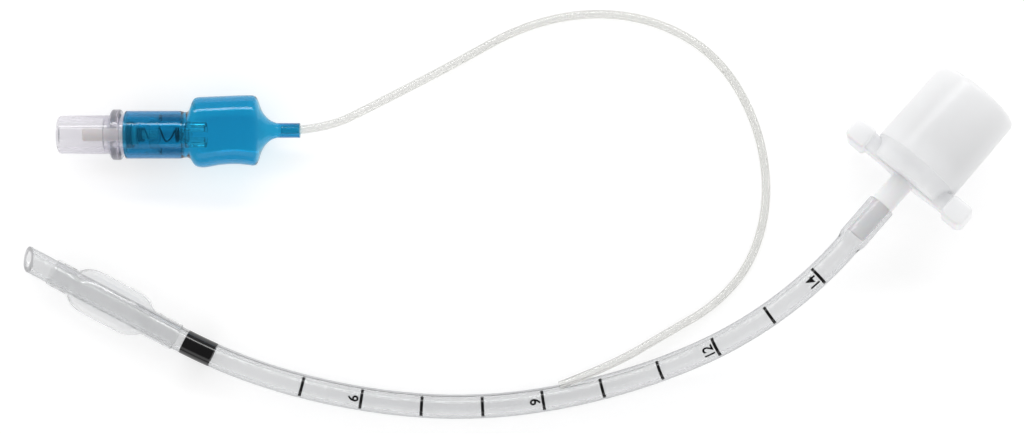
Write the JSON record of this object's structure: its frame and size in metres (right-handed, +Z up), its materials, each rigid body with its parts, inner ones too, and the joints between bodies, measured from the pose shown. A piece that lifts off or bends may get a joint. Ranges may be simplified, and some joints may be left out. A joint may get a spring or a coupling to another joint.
{
  "type": "endotracheal tube",
  "caption": "Cuffed endotracheal tube: bevelled clear tube with inflated cuff, conical breathing connector with side lugs, and a pilot line to a blue pilot balloon with a spring check valve.",
  "frame": {"origin": "centre of the footprint of the tube with its cuff and connector, on the table they lie on", "axes": "+X from the bevelled tip to the connector, +Y to the inner side of the bow where the pilot line lies, +Z up from the table"},
  "size_m": [0.161, 0.0674, 0.0155],
  "materials": {
    "clear_tube": "clear soft vinyl, glossy",
    "clear_film": "thin clear film",
    "black_ink": "printed ink",
    "milky_connector": "milky translucent moulding",
    "clear_line": "clear soft vinyl, glossy",
    "blue_balloon": "blue translucent vinyl, glossy",
    "clear_port": "clear rigid moulding",
    "clear_cage": "clear rigid moulding",
    "ivory_plunger": "moulded",
    "black_rubber": "smooth",
    "spring_steel": "drawn wire"
  },
  "bodies": {
    "tube": {"tube_shaft": "clear_tube", "cuff": "clear_film", "printed_marks": "black_ink", "connector": "milky_connector", "inflation_line": "clear_line", "pilot_balloon": "blue_balloon", "luer_port": "clear_port", "valve_cage": "clear_cage", "valve_spring": "spring_steel"},
    "plunger": {"valve_plunger": "ivory_plunger", "valve_seal": "black_rubber"}
  },
  "joints": [
    {"name": "plunger_slide", "type": "slide", "parent": "tube", "child": "plunger", "axis": [1, 0, 0], "range_m": [0, 0.0015], "stiffness_N_per_m": 200, "springref_m": -0.002, "deforming": ["valve_spring"]}
  ]
}
